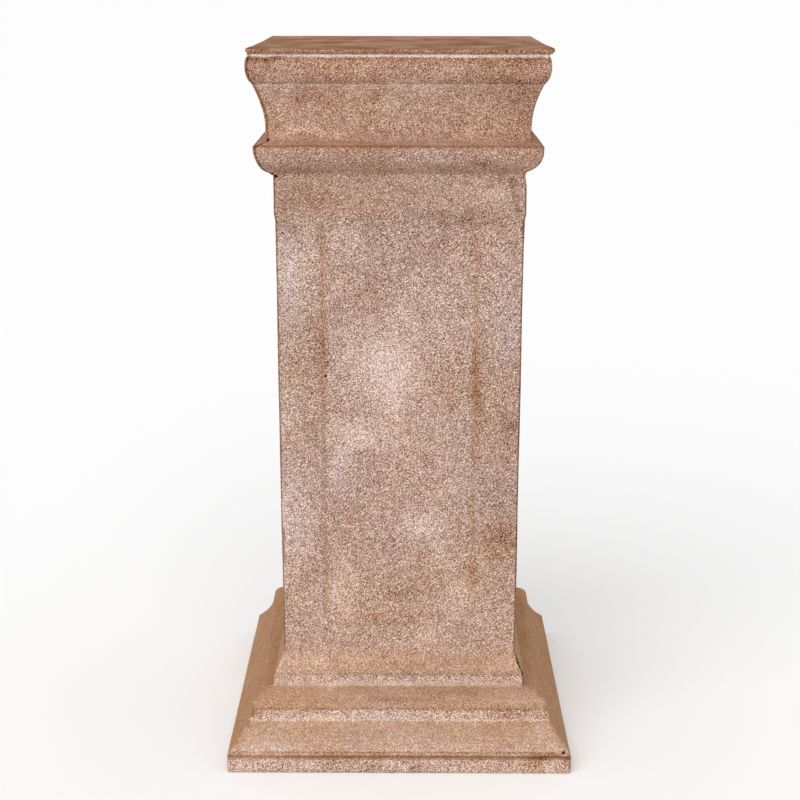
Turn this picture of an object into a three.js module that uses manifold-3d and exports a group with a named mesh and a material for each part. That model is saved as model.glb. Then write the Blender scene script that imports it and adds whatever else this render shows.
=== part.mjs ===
// A square pedestal column: a stepped base, a panelled shaft, a moulded capital and a thin top plate.
// Millimetres, +Z up. The origin is the middle of the underside, and the front faces -Y.
// Each piece is one moulding profile carried round the four sides of a square, mitred at the corners.
import * as THREE from "three";
import { mergeVertices } from "three/addons/utils/BufferGeometryUtils.js";
import Module from "manifold-3d";

// Heights of the joints between the pieces, from the floor up
const BASE_TOP = 118.5;
const SHAFT_TOP = 653.5;
const CAPITAL_TOP = 775;
const TOTAL_HEIGHT = 780;

// Base: plinth block, bead, hollowed slope, band, rounded shoulder, fillet and upper slope.
// A "half" is half the width across two opposite faces.
const PLINTH_HALF = 190;
const PLINTH_TOP = 19.5;
const BEAD_HALF = 189;
const BEAD_RADIUS = 3;
const BEAD_QUIRK = 2;
const SLOPE_FOOT_HALF = 187;
const SLOPE_HOLLOW = 2.5;
const BAND_BOTTOM = 52.5;
const BAND_TOP = 66.5;
const BAND_FOOT_HALF = 167.4;
const BAND_HEAD_HALF = 164.5;
const SHOULDER_DROP = 1.5;
const FILLET_BOTTOM = 82;
const FILLET_TOP = 95.5;
const FILLET_FOOT_HALF = 141;
const FILLET_HEAD_HALF = 139.8;

// Shaft: plain sides, a neck band round the head and a sunk panel on each face
const SHAFT_HALF = 129.4;
const NECK_HALF = 130.8;
const NECK_BOTTOM = 612;
const NECK_CHAMFER = 7;
const STILE_WIDTH = 43;
const PANEL_BOTTOM = 159.5;
const PANEL_DEPTH = 3;
const PANEL_BEVEL = 8;

// Capital: lower ovolo, sloping ledge, cove and upper ovolo. It sits a little to the left of the shaft.
const CAPITAL_SHIFT = -1.6;
const LOWER_OVOLO_HALF = 147.9;
const LOWER_OVOLO_RADIUS = 26.5;
const LOWER_OVOLO_SWEEP = THREE.MathUtils.degToRad(71);
const LOWER_OVOLO_TOP = 680;
const LEDGE_LIP = 2.5;
const LEDGE_ROUND = 1.5;
const LEDGE_BACK = 688;
const COVE_HALF = 135.6;
const COVE_SPRING = 702;
const COVE_TOP = 745;
const COVE_HEAD_HALF = 146.8;
const UPPER_OVOLO_BOTTOM = 746;
const UPPER_OVOLO_HIP = 751;
const UPPER_OVOLO_MIDDLE = 763;
const UPPER_OVOLO_HALF = 153.4;
const UPPER_OVOLO_BULGE = 6;

// Top plate: a rolled nose all round
const PLATE_HALF = 154.3;

// Finish, and how finely curves are divided
const PAINT = { roughness: 0.85, metalness: 0 };
const PLATE_COLOUR = "#9b745c";
const CAPITAL_COLOUR = "#b5907b";
const SHAFT_COLOUR = "#b99887";
const BASE_COLOUR = "#c39d83";
const CURVE_STEPS = 12;
const SQUARE_SIDES = 4;

const wasm = await Module();
wasm.setup();

// A profile of (half width, height) points, from the axis out and back, carried round a square.
function squareMoulding(profile) {
  const corners = profile
    .getPoints(CURVE_STEPS)
    .map((point) => new THREE.Vector2(point.x * Math.SQRT2, point.y));
  return new THREE.LatheGeometry(corners, SQUARE_SIDES, Math.PI / SQUARE_SIDES).rotateX(Math.PI / 2);
}

function solidOf(geometry) {
  const bare = geometry.clone();
  bare.deleteAttribute("normal");
  bare.deleteAttribute("uv");
  const merged = mergeVertices(bare);
  return new wasm.Manifold(
    new wasm.Mesh({
      numProp: 3,
      vertProperties: new Float32Array(merged.attributes.position.array),
      triVerts: new Uint32Array(merged.index.array),
    }),
  );
}

function geometryOf(solid) {
  const { vertProperties, triVerts } = solid.getMesh();
  const geometry = new THREE.BufferGeometry();
  geometry.setAttribute("position", new THREE.BufferAttribute(vertProperties, 3));
  geometry.setIndex(new THREE.BufferAttribute(triVerts, 1));
  geometry.computeVertexNormals();
  return geometry;
}

function baseGeometry() {
  const beadMiddle = PLINTH_TOP + BEAD_RADIUS;
  const beadTop = PLINTH_TOP + 2 * BEAD_RADIUS;
  const beadRoot = BEAD_HALF - BEAD_QUIRK;
  const profile = new THREE.Path()
    .moveTo(0, 0)
    .lineTo(PLINTH_HALF, 0)
    .lineTo(PLINTH_HALF, PLINTH_TOP - BEAD_QUIRK / 2)
    .lineTo(beadRoot, PLINTH_TOP)
    .absellipse(beadRoot, beadMiddle, BEAD_QUIRK, BEAD_RADIUS, -Math.PI / 2, Math.PI / 2, false, 0)
    .lineTo(SLOPE_FOOT_HALF, beadTop + BEAD_QUIRK / 2)
    .quadraticCurveTo(
      (SLOPE_FOOT_HALF + BAND_FOOT_HALF) / 2 - SLOPE_HOLLOW,
      (beadTop + BAND_BOTTOM) / 2 - SLOPE_HOLLOW,
      BAND_FOOT_HALF,
      BAND_BOTTOM,
    )
    .lineTo(BAND_HEAD_HALF, BAND_TOP)
    .bezierCurveTo(
      BAND_HEAD_HALF,
      (BAND_TOP + FILLET_BOTTOM) / 2,
      (BAND_HEAD_HALF + FILLET_FOOT_HALF) / 2,
      FILLET_BOTTOM - SHOULDER_DROP,
      FILLET_FOOT_HALF,
      FILLET_BOTTOM,
    )
    .lineTo(FILLET_HEAD_HALF, FILLET_TOP)
    .lineTo(SHAFT_HALF, BASE_TOP)
    .lineTo(0, BASE_TOP);
  return squareMoulding(profile);
}

// One panel's cutter: it widens from the sunk floor to the face by the bevel, and stands clear outside.
function panelCutter() {
  const floorHalf = SHAFT_HALF - STILE_WIDTH - PANEL_BEVEL;
  const floorBottom = PANEL_BOTTOM + PANEL_BEVEL;
  const floorTop = NECK_BOTTOM - NECK_CHAMFER - PANEL_BEVEL;
  const floor = new THREE.Shape()
    .moveTo(-floorHalf, floorBottom)
    .lineTo(floorHalf, floorBottom)
    .lineTo(floorHalf, floorTop)
    .lineTo(-floorHalf, floorTop)
    .closePath();
  const cutter = new THREE.ExtrudeGeometry(floor, {
    depth: PANEL_DEPTH,
    bevelEnabled: true,
    bevelSegments: 1,
    bevelThickness: PANEL_DEPTH,
    bevelSize: PANEL_BEVEL,
  });
  return cutter.translate(0, 0, SHAFT_HALF).rotateX(Math.PI / 2);
}

function shaftGeometry() {
  const profile = new THREE.Path()
    .moveTo(0, BASE_TOP)
    .lineTo(SHAFT_HALF, BASE_TOP)
    .lineTo(SHAFT_HALF, NECK_BOTTOM - NECK_CHAMFER)
    .lineTo(NECK_HALF, NECK_BOTTOM)
    .lineTo(NECK_HALF, SHAFT_TOP)
    .lineTo(0, SHAFT_TOP);
  let shaft = solidOf(squareMoulding(profile));
  for (let side = 0; side < SQUARE_SIDES; side += 1) {
    const turn = (side * 2 * Math.PI) / SQUARE_SIDES;
    shaft = shaft.subtract(solidOf(panelCutter().rotateZ(turn)));
  }
  return geometryOf(shaft);
}

function capitalGeometry() {
  const lowerCentre = LOWER_OVOLO_HALF - LOWER_OVOLO_RADIUS;
  const lipTop = LOWER_OVOLO_TOP + LEDGE_LIP;
  const upperCentre = UPPER_OVOLO_HALF - UPPER_OVOLO_BULGE;
  const profile = new THREE.Path()
    .moveTo(0, SHAFT_TOP)
    .lineTo(lowerCentre, SHAFT_TOP)
    .absarc(lowerCentre, LOWER_OVOLO_TOP, LOWER_OVOLO_RADIUS, -LOWER_OVOLO_SWEEP, 0, false)
    .lineTo(LOWER_OVOLO_HALF, lipTop)
    .lineTo(LOWER_OVOLO_HALF - LEDGE_ROUND, lipTop + LEDGE_ROUND)
    .lineTo(COVE_HALF, LEDGE_BACK)
    .lineTo(COVE_HALF, COVE_SPRING)
    .quadraticCurveTo(COVE_HALF, (COVE_SPRING + COVE_TOP) / 2, COVE_HEAD_HALF, COVE_TOP)
    .lineTo(upperCentre, UPPER_OVOLO_BOTTOM)
    .quadraticCurveTo(UPPER_OVOLO_HALF, UPPER_OVOLO_HIP, UPPER_OVOLO_HALF, UPPER_OVOLO_MIDDLE)
    .absellipse(
      upperCentre,
      UPPER_OVOLO_MIDDLE,
      UPPER_OVOLO_BULGE,
      CAPITAL_TOP - UPPER_OVOLO_MIDDLE,
      0,
      Math.PI / 2,
      false,
      0,
    )
    .lineTo(0, CAPITAL_TOP);
  return squareMoulding(profile);
}

function topPlateGeometry() {
  const noseRadius = (TOTAL_HEIGHT - CAPITAL_TOP) / 2;
  const noseCentre = PLATE_HALF - noseRadius;
  const profile = new THREE.Path()
    .moveTo(0, CAPITAL_TOP)
    .lineTo(noseCentre, CAPITAL_TOP)
    .absarc(noseCentre, CAPITAL_TOP + noseRadius, noseRadius, -Math.PI / 2, Math.PI / 2, false)
    .lineTo(0, TOTAL_HEIGHT);
  return squareMoulding(profile);
}

function piece(name, geometry, color) {
  const mesh = new THREE.Mesh(geometry, new THREE.MeshStandardMaterial({ color, ...PAINT }));
  mesh.name = name;
  return mesh;
}

const column = new THREE.Group();
const capital = piece("capital", capitalGeometry(), CAPITAL_COLOUR);
capital.position.x = CAPITAL_SHIFT;
column.add(
  piece("base", baseGeometry(), BASE_COLOUR),
  piece("shaft", shaftGeometry(), SHAFT_COLOUR),
  capital,
  piece("top_plate", topPlateGeometry(), PLATE_COLOUR),
);

export default column;
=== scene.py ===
# %% [markdown]
# # A rustic column
# The real object is a square display pedestal, light and hollow, folded from thin sheet metal and sponged
# with paint until it looks like old stone. The CAD model gives its four pieces at their true size. This
# lesson builds each piece again as a finer mesh in the same place, and gives it the rough, cloudy finish
# of the real one.

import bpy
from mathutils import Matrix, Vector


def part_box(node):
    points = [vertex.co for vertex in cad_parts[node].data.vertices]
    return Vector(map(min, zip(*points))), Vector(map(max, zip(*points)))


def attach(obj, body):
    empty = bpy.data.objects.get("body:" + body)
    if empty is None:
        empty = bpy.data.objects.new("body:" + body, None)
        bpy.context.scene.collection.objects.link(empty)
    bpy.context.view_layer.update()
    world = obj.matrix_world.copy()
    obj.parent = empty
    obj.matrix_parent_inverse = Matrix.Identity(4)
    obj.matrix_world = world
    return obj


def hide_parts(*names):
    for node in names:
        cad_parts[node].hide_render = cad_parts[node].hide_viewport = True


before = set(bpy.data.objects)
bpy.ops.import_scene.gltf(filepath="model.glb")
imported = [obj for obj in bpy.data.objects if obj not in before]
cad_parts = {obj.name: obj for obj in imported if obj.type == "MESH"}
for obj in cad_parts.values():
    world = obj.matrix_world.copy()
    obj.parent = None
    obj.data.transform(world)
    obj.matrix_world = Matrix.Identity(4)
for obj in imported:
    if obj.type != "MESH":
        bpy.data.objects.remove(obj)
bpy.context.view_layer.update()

# %% [markdown]
# ## Tools
# bmesh builds the meshes, bpy makes objects, materials and lights, and mathutils brings vectors, curves
# and noise.

# %% Modules
import math

import bmesh
import bpy
from mathutils import Color, Matrix, Vector, geometry, noise

print("Blender", bpy.app.version_string)

# %% [markdown]
# ## The camera
# A product picture is taken from a little above, with a lens long enough to keep the sides nearly
# upright. The camera's place and turn were fitted to the corners of the column, so they are plain numbers
# here. Making the camera first means that every later piece can be judged through it at once.

# %% The camera
PICTURE_WIDTH = 800
FOCAL_LENGTH_PIXELS = 1541.3
CAMERA_PLACE = (0.0081, -1.7193, 0.8588)
CAMERA_LOOKS_DOWN = math.radians(15.7)
CAMERA_TURN = math.radians(0.28)
CAMERA_ROLL = math.radians(0.065)

camera_data = bpy.data.cameras.new("studio_camera")
camera_data.lens = FOCAL_LENGTH_PIXELS * camera_data.sensor_width / PICTURE_WIDTH
camera = bpy.data.objects.new("studio_camera", camera_data)
camera.location = CAMERA_PLACE
turn = Matrix.Rotation(CAMERA_TURN, 3, "Z")
tilt = Matrix.Rotation(math.pi / 2 - CAMERA_LOOKS_DOWN, 3, "X")
roll = Matrix.Rotation(CAMERA_ROLL, 3, "Z")
camera.rotation_euler = (turn @ tilt @ roll).to_euler()
bpy.context.scene.collection.objects.link(camera)
bpy.context.scene.camera = camera
print("lens, mm:", round(camera_data.lens, 2))

# %% [markdown]
# ## One moulding, four sides
# Every piece of the column is a moulding that runs round a square and meets itself in mitres at the
# corners, as a picture frame does. A joiner would run one length and cut it. In Blender the quickest way
# is to draw the line of the mitre once, as a chain of vertices, and to spin it a full turn in four steps:
# each step makes one flat-sided run. The mitre edges are then bevelled, because folded sheet has no knife
# edge, and the runs are cut into a fine grid, so that dents and waves can be pressed into them later.

# %% Moulding helpers
MM = 0.001
GRID = 2.6 * MM
ARC_STEPS = 10
LONG_RUN = 90 * MM
TOUCHING = 0.01 * MM
HIP_SEGMENTS = 4
SQUARE_SIDES = 4
HANDLE_SHARE = 2 / 3
# directions on an arc, in degrees
DOWN, OUTWARDS, UP = -90, 0, 90


def arc(centre, radii, start, end):
    """An arc of a circle or an ellipse as (half width, height) points, angles in degrees."""
    angles = [math.radians(start + (end - start) * step / ARC_STEPS) for step in range(ARC_STEPS + 1)]
    return [(centre[0] + radii[0] * math.cos(a), centre[1] + radii[1] * math.sin(a)) for a in angles]


def bend(start, start_handle, end_handle, end):
    """A smooth curve between two points, pulled towards its two handles."""
    points = geometry.interpolate_bezier(
        Vector(start), Vector(start_handle), Vector(end_handle), Vector(end), ARC_STEPS + 1
    )
    return [(point.x, point.y) for point in points]


def bow(start, pull, end):
    """A curve with a single bow in it, drawn half the way towards one point."""
    first, middle, last = Vector(start), Vector(pull), Vector(end)
    return bend(first, first.lerp(middle, HANDLE_SHARE), last.lerp(middle, HANDLE_SHARE), last)


def fine_steps(line):
    """The same line with its long straight stretches cut to the grid."""
    fine = [line[0]]
    for start, end in zip(line, line[1:]):
        steps = max(1, round(math.dist(start, end) * MM / GRID))
        for step in range(1, steps + 1):
            fine.append(tuple(Vector(start).lerp(Vector(end), step / steps)))
    return fine


def on_one_corner(edge):
    """True for an edge that runs up a mitre, on one corner of the square."""
    a, b = (vertex.co for vertex in edge.verts)
    on_diagonal = all(abs(abs(p.x) - abs(p.y)) < TOUCHING for p in (a, b))
    return on_diagonal and a.x * b.x > 0 and a.y * b.y > 0


def spin_mitre(profile):
    """Spin a mitre line, given in millimetres from the bottom up, into a closed square solid."""
    bm = bmesh.new()
    chain = [bm.verts.new((half * MM, -half * MM, height * MM)) for half, height in profile]
    for lower, upper in zip(chain, chain[1:]):
        bm.edges.new((lower, upper))
    line = bm.verts[:] + bm.edges[:]
    bmesh.ops.spin(
        bm, geom=line, cent=(0, 0, 0), axis=(0, 0, 1), angle=math.tau, steps=SQUARE_SIDES, use_merge=True
    )
    bmesh.ops.remove_doubles(bm, verts=bm.verts, dist=TOUCHING)
    rims = [edge for edge in bm.edges if edge.is_boundary]
    bmesh.ops.holes_fill(bm, edges=rims, sides=SQUARE_SIDES)
    bmesh.ops.recalc_face_normals(bm, faces=bm.faces)
    return bm


def round_hips(bm, radius, beyond=0.0):
    """Round the four mitre lines where they lie beyond a half width, as a folded sheet is."""
    mitres = [edge for edge in bm.edges if on_one_corner(edge)]
    hips = [edge for edge in mitres if min(abs(v.co.x) for v in edge.verts) > beyond - TOUCHING]
    bmesh.ops.bevel(
        bm, geom=hips, offset=radius, affect="EDGES", segments=HIP_SEGMENTS, profile=0.5, material=-1
    )


def cut_long_runs(bm):
    """Cut the long level edges of all four sides into the same number of short ones."""
    runs = [edge for edge in bm.edges if edge.calc_length() > LONG_RUN]
    longest = max(edge.calc_length() for edge in runs)
    bmesh.ops.subdivide_edges(bm, edges=runs, cuts=int(longest / GRID), use_grid_fill=True)


print("grid of the mesh, mm:", GRID / MM)

# %% [markdown]
# ## The base
# The base is a stepped foot: a plinth block, a thin bead between two quirks, a long hollowed slope, a
# pale band, a rounded shoulder, a fillet and a last slope up to the shaft. Only points where the line
# turns are given, and the round stretches are arcs and curves between them.

# %% The base
_, base_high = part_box("base")
BASE_TOP = base_high.z / MM
PLINTH_HALF = base_high.x / MM
PLINTH_EDGE = 2.0
PLINTH_TOP = 19.5
BEAD_ROOT_HALF = 187.0
BEAD_STANDS_OUT = 2.0
BEAD_RADIUS = 3.0
SLOPE_HOLLOW = 2.5
BAND_FOOT = (167.4, 52.5)
BAND_HEAD = (164.5, 66.5)
SHOULDER_DROP = 1.5
FILLET_FOOT = (141.0, 82.0)
FILLET_HEAD = (139.8, 95.5)
SHAFT_HALF = 129.4
BASE_HIP_RADIUS = 3.0 * MM


def base_profile():
    """The mitre line of the base, from the floor up."""
    bead_middle = PLINTH_TOP + BEAD_RADIUS
    slope_foot = (BEAD_ROOT_HALF, bead_middle + BEAD_RADIUS + BEAD_STANDS_OUT / 2)
    hollow = (
        (slope_foot[0] + BAND_FOOT[0]) / 2 - SLOPE_HOLLOW,
        (slope_foot[1] + BAND_FOOT[1]) / 2 - SLOPE_HOLLOW,
    )
    line = arc((PLINTH_HALF - PLINTH_EDGE, PLINTH_EDGE), (PLINTH_EDGE, PLINTH_EDGE), DOWN, OUTWARDS)
    line += [(PLINTH_HALF, PLINTH_TOP - BEAD_STANDS_OUT / 2)]
    line += arc((BEAD_ROOT_HALF, bead_middle), (BEAD_STANDS_OUT, BEAD_RADIUS), DOWN, UP)
    line += bow(slope_foot, hollow, BAND_FOOT)
    line += bend(
        BAND_HEAD,
        (BAND_HEAD[0], (BAND_HEAD[1] + FILLET_FOOT[1]) / 2),
        ((BAND_HEAD[0] + FILLET_FOOT[0]) / 2, FILLET_FOOT[1] - SHOULDER_DROP),
        FILLET_FOOT,
    )
    line += [FILLET_HEAD, (SHAFT_HALF, BASE_TOP)]
    return line


base_mesh = spin_mitre(fine_steps(base_profile()))
round_hips(base_mesh, BASE_HIP_RADIUS)
cut_long_runs(base_mesh)
print("base faces:", len(base_mesh.faces))

# %% [markdown]
# ## The shaft
# The trunk is a plain square box with a slightly wider neck band and one shallow sunk panel on each side.
# The panel is a cabinet maker's flat panel pressed in sheet: the face is cut along the stiles and the
# bottom rail, and the field between them is inset and pushed in.

# %% The shaft
_, shaft_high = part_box("shaft")
SHAFT_TOP = shaft_high.z / MM
NECK_HALF = shaft_high.x / MM
NECK_BOTTOM = 612.0
PANEL_TOP = 605.0
PANEL_BOTTOM = 159.5
STILE_WIDTH = 43.0
PANEL_DEPTH = 3.0 * MM
PANEL_BEVEL = 8.0 * MM
PANEL_SOFTNESS = 1.5 * MM
PANEL_SOFT_SEGMENTS = 2
UPRIGHT = 0.5
SAME_AREA = 0.01
SHAFT_HIP_RADIUS = 2.2 * MM
# shortest and longest edge of each kind
BEVEL_EDGE = (4 * MM, 20 * MM)
STILE_EDGE = (20 * MM, 90 * MM)
PANEL_WIDE_EDGE = (90 * MM, 300 * MM)
PANEL_TALL_EDGE = (300 * MM, math.inf)


def shaft_outline():
    """The trunk with its neck, still in large faces."""
    line = [
        (SHAFT_HALF, BASE_TOP),
        (SHAFT_HALF, PANEL_BOTTOM),
        (SHAFT_HALF, PANEL_TOP),
        (NECK_HALF, NECK_BOTTOM),
        (NECK_HALF, SHAFT_TOP),
    ]
    return spin_mitre(line)


def sink_panels(bm):
    """Cut the stiles on every side, press the four panels in and soften their edges."""
    stile = (SHAFT_HALF - STILE_WIDTH) * MM
    for across in (Vector((1, 0, 0)), Vector((0, 1, 0))):
        for side in (-stile, stile):
            everything = bm.verts[:] + bm.edges[:] + bm.faces[:]
            bmesh.ops.bisect_plane(
                bm, geom=everything, dist=TOUCHING, plane_co=across * side, plane_no=across
            )
    panel_area = 2 * stile * (PANEL_TOP - PANEL_BOTTOM) * MM
    sides = [face for face in bm.faces if abs(face.normal.z) < UPRIGHT]
    panels = [face for face in sides if abs(face.calc_area() / panel_area - 1) < SAME_AREA]
    rims = bmesh.ops.inset_individual(
        bm, faces=panels, thickness=PANEL_BEVEL, depth=-PANEL_DEPTH, use_even_offset=True
    )["faces"]
    arrises = {edge for face in rims for edge in face.edges if edge.calc_length() >= LONG_RUN}
    bmesh.ops.bevel(
        bm,
        geom=list(arrises),
        offset=PANEL_SOFTNESS,
        affect="EDGES",
        segments=PANEL_SOFT_SEGMENTS,
        profile=0.5,
        material=-1,
    )
    return panels


def cut_shaft_grid(bm):
    """Cut edges of like length alike, so that the two sides of every face get the same number of cuts."""
    for shortest, longest in (PANEL_TALL_EDGE, PANEL_WIDE_EDGE, STILE_EDGE, BEVEL_EDGE):
        edges = [edge for edge in bm.edges if shortest < edge.calc_length() <= longest]
        mean = sum(edge.calc_length() for edge in edges) / len(edges)
        bmesh.ops.subdivide_edges(bm, edges=edges, cuts=round(mean / GRID), use_grid_fill=True)


shaft_mesh = shaft_outline()
print("panels sunk:", len(sink_panels(shaft_mesh)))
round_hips(shaft_mesh, SHAFT_HIP_RADIUS)
cut_shaft_grid(shaft_mesh)
print("shaft faces:", len(shaft_mesh.faces))

# %% [markdown]
# ## The capital
# The head of the column carries an ovolo, a tall cove, a sloping ledge and a second ovolo. It is one
# pressed piece that sits a little to the left of the trunk, so it is spun about the axis first and moved
# last.

# %% The capital
capital_low, capital_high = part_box("capital")
CAPITAL_TOP = capital_high.z / MM
CAPITAL_SHIFT = (capital_low.x + capital_high.x) / 2
UPPER_OVOLO_HALF = (capital_high.x - capital_low.x) / 2 / MM
LOWER_OVOLO_HALF = 147.9
LOWER_OVOLO_RADIUS = 26.5
LOWER_OVOLO_SWEEP = 66
CAPITAL_FOOT_HALF = 131.2
LOWER_OVOLO_TOP = 680.0
LEDGE_LIP = 2.5
LEDGE_ROUND = 1.5
LEDGE_ROUND_END = 70
LEDGE_BACK = 688.0
COVE_HALF = 135.6
COVE_SPRING = 702.0
COVE_HEAD = (146.8, 745.0)
UPPER_OVOLO_FOOT = 746.0
UPPER_OVOLO_HIP = 751.0
UPPER_OVOLO_MIDDLE = 763.0
UPPER_OVOLO_BULGE = 6.0
CROWN_DEPTH = 5.0
CROWN_END = 60
CROWN_TOP_HALF = 151.4
CAPITAL_HIP_RADIUS = 2.5 * MM


def capital_profile():
    """The mitre line of the capital, from the shaft up."""
    lower_centre = (LOWER_OVOLO_HALF - LOWER_OVOLO_RADIUS, LOWER_OVOLO_TOP)
    lip_top = LOWER_OVOLO_TOP + LEDGE_LIP
    upper_centre = (UPPER_OVOLO_HALF - UPPER_OVOLO_BULGE, UPPER_OVOLO_MIDDLE)
    line = [(CAPITAL_FOOT_HALF, SHAFT_TOP)]
    line += arc(lower_centre, (LOWER_OVOLO_RADIUS, LOWER_OVOLO_RADIUS), -LOWER_OVOLO_SWEEP, OUTWARDS)
    lip_centre = (LOWER_OVOLO_HALF - LEDGE_ROUND, lip_top)
    line += arc(lip_centre, (LEDGE_ROUND, LEDGE_ROUND), OUTWARDS, LEDGE_ROUND_END)
    line += [(COVE_HALF, LEDGE_BACK)]
    line += bow((COVE_HALF, COVE_SPRING), (COVE_HALF, (COVE_SPRING + COVE_HEAD[1]) / 2), COVE_HEAD)
    line += bow(
        (upper_centre[0], UPPER_OVOLO_FOOT),
        (UPPER_OVOLO_HALF, UPPER_OVOLO_HIP),
        (UPPER_OVOLO_HALF, UPPER_OVOLO_MIDDLE),
    )
    crown_centre = (UPPER_OVOLO_HALF - CROWN_DEPTH, UPPER_OVOLO_MIDDLE)
    crown_radii = (CROWN_DEPTH, CAPITAL_TOP - UPPER_OVOLO_MIDDLE)
    line += arc(crown_centre, crown_radii, OUTWARDS, CROWN_END)[1:]
    line += [(CROWN_TOP_HALF, CAPITAL_TOP)]
    return line


capital_mesh = spin_mitre(fine_steps(capital_profile()))
round_hips(capital_mesh, CAPITAL_HIP_RADIUS)
cut_long_runs(capital_mesh)
bmesh.ops.translate(capital_mesh, verts=capital_mesh.verts, vec=(CAPITAL_SHIFT, 0, 0))
print("capital faces:", len(capital_mesh.faces))

# %% [markdown]
# ## The top plate
# A thin square plate with a rolled nose closes the column. The nose sits high, and the sheet is drawn in
# under it to meet the capital. The line stops a little way in from the nose, and the flat middle is then
# a single square face, which the cutting fills with an even grid.

# %% The top plate
_, plate_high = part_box("top_plate")
PLATE_HALF = plate_high.x / MM
PLATE_TOP = plate_high.z / MM
PLATE_FLAT_HALF = 146.0
PLATE_FOOT_HALF = 152.2
NOSE_HALF_HEIGHT = 1.9
NOSE_DEPTH = 2.2
NOSE_START = -45
PLATE_CORNER_RADIUS = 5.0 * MM


def plate_profile():
    """The mitre line of the plate, round its nose."""
    middle = PLATE_TOP - NOSE_HALF_HEIGHT
    line = [(PLATE_FLAT_HALF, CAPITAL_TOP), (PLATE_FOOT_HALF, CAPITAL_TOP)]
    line += arc((PLATE_HALF - NOSE_DEPTH, middle), (NOSE_DEPTH, NOSE_HALF_HEIGHT), NOSE_START, UP)
    line += [(PLATE_FLAT_HALF, PLATE_TOP)]
    return line


plate_mesh = spin_mitre(fine_steps(plate_profile()))
round_hips(plate_mesh, PLATE_CORNER_RADIUS, beyond=PLATE_FOOT_HALF * MM)
cut_long_runs(plate_mesh)
print("top plate faces:", len(plate_mesh.faces))

# %% [markdown]
# ## Hand-worked sheet
# No face of the real column is truly flat: thin sheet waves a little, and the thick paint stands up in
# small grains. Each vertex is moved along its normal by a few sizes of noise, long and shallow to short
# and fine. The noise reads only the place of the vertex, so it is the same in every run. The joints
# between pieces stay flat.

# %% Waves in the sheet
# length and depth of each wave
WAVES = ((150 * MM, 0.5 * MM), (34 * MM, 0.16 * MM), (7 * MM, 0.08 * MM))
JOINT_FADE = 5 * MM


def wave(bm):
    """Press long and short waves into a piece, fading out towards its lower and upper joint."""
    bm.normal_update()
    lowest = min(vertex.co.z for vertex in bm.verts)
    highest = max(vertex.co.z for vertex in bm.verts)
    for vertex in bm.verts:
        room = min(vertex.co.z - lowest, highest - vertex.co.z)
        lift = sum(depth * noise.noise(vertex.co / length) for length, depth in WAVES)
        vertex.co += vertex.normal * lift * min(1, room / JOINT_FADE)


for bm in (base_mesh, shaft_mesh, capital_mesh):
    wave(bm)
print("waves pressed, deepest in mm:", WAVES[0][1] / MM)

# %% [markdown]
# ## Bulges from handling
# The column has been bumped and moved about. The trunk's left side stands out a little in two places, the
# neck is pinched at its right shoulder, the capital sags at its lower left end and the plate's front
# corners are bent up. Each of these is a soft push: a middle, a reach in the three directions and a
# movement, all in millimetres, fading like a bell curve.

# %% Bulges
# middle, reach and push, each as x, y and z in millimetres
SHAFT_BULGES = (
    ((-130, 0, 455), (14, 160, 40), (-1.0, 0, 0)),
    ((-130, 0, 265), (14, 160, 60), (-1.1, 0, 0)),
    ((130, 0, 602), (14, 160, 18), (1.2, 0, 0)),
    ((131, -100, 652), (9, 80, 7), (-1.8, 0, 0)),
)
CAPITAL_BULGES = (
    ((-142, 0, 730), (14, 160, 16), (-1.7, 0, 0)),
    ((-148, 0, 715), (20, 160, 60), (-0.9, 0, 0)),
    ((145, -100, 666), (16, 80, 8), (0.9, 0, 0)),
    ((-138, -130, 660), (16, 60, 9), (-0.6, 0, -2.2)),
)
PLATE_BULGES = (
    ((152, -142, 781), (30, 60, 4), (0.2, 0, 1.3)),
    ((-152, -145, 781), (30, 40, 4), (0, 0, 1.0)),
    ((-154, 40, 779), (12, 80, 10), (1.2, 0, 0)),
)


def push_bulges(bm, bulges):
    """Move the vertices near each bulge, most at its middle."""
    for middle, reach, push in bulges:
        for vertex in bm.verts:
            away = [(vertex.co[i] / MM - middle[i]) / reach[i] for i in range(3)]
            vertex.co += Vector(push) * MM * math.exp(-sum(a * a for a in away))


push_bulges(shaft_mesh, SHAFT_BULGES)
push_bulges(capital_mesh, CAPITAL_BULGES)
push_bulges(plate_mesh, PLATE_BULGES)
print("bulges pushed:", len(SHAFT_BULGES) + len(CAPITAL_BULGES) + len(PLATE_BULGES))

# %% [markdown]
# ## Creases, cracks and pits
# A few small flaws make this column itself: a crease in the neck, an open mitre at the top of the base,
# pits at the joints and dark specks. Each is a short line on the front. The mesh is cut finer along it,
# the vertices beside it are pressed in, and a number left on them tells the paint later how much dirt has
# gathered there.

# %% Flaws
# start (x, z), end (x, z), width, depth in millimetres, and how much darker the paint is
NECK_CREASE = ((114, 648), (122.5, 616), 3.5, 1.8, 0.2)
TRUNK_SPECK = ((-79, 438), (-79, 437), 1.8, 0.3, 0.9)
JOINT_PIT = ((-129, 653), (-127.5, 651), 2.0, 2.4, 0.9)
LEDGE_PIT = ((-134.5, 688), (-133.5, 689), 1.5, 0.8, 0.7)
MITRE_HEAD = ((128.5, 121), (131.5, 114), 1.6, 1.5, 0.8)
MITRE_MIDDLE = ((131.5, 114), (133, 108), 1.6, 1.5, 0.8)
MITRE_FOOT = ((133, 108), (138, 98), 1.6, 1.5, 0.8)
MITRE_STAIN = ((138.5, 97), (139.5, 84), 2.6, 0.6, 0.6)
BEAD_CHIP = ((181.5, 25.5), (181, 24.5), 1.7, 0.8, 1.2)
SHAFT_FLAWS = (NECK_CREASE, TRUNK_SPECK, JOINT_PIT)
CAPITAL_FLAWS = (LEDGE_PIT,)
BASE_FLAWS = (MITRE_HEAD, MITRE_MIDDLE, MITRE_FOOT, MITRE_STAIN, BEAD_CHIP)
FLAW_CUTS = 2
CORNER_REACH = 1.5 * MM


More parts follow.
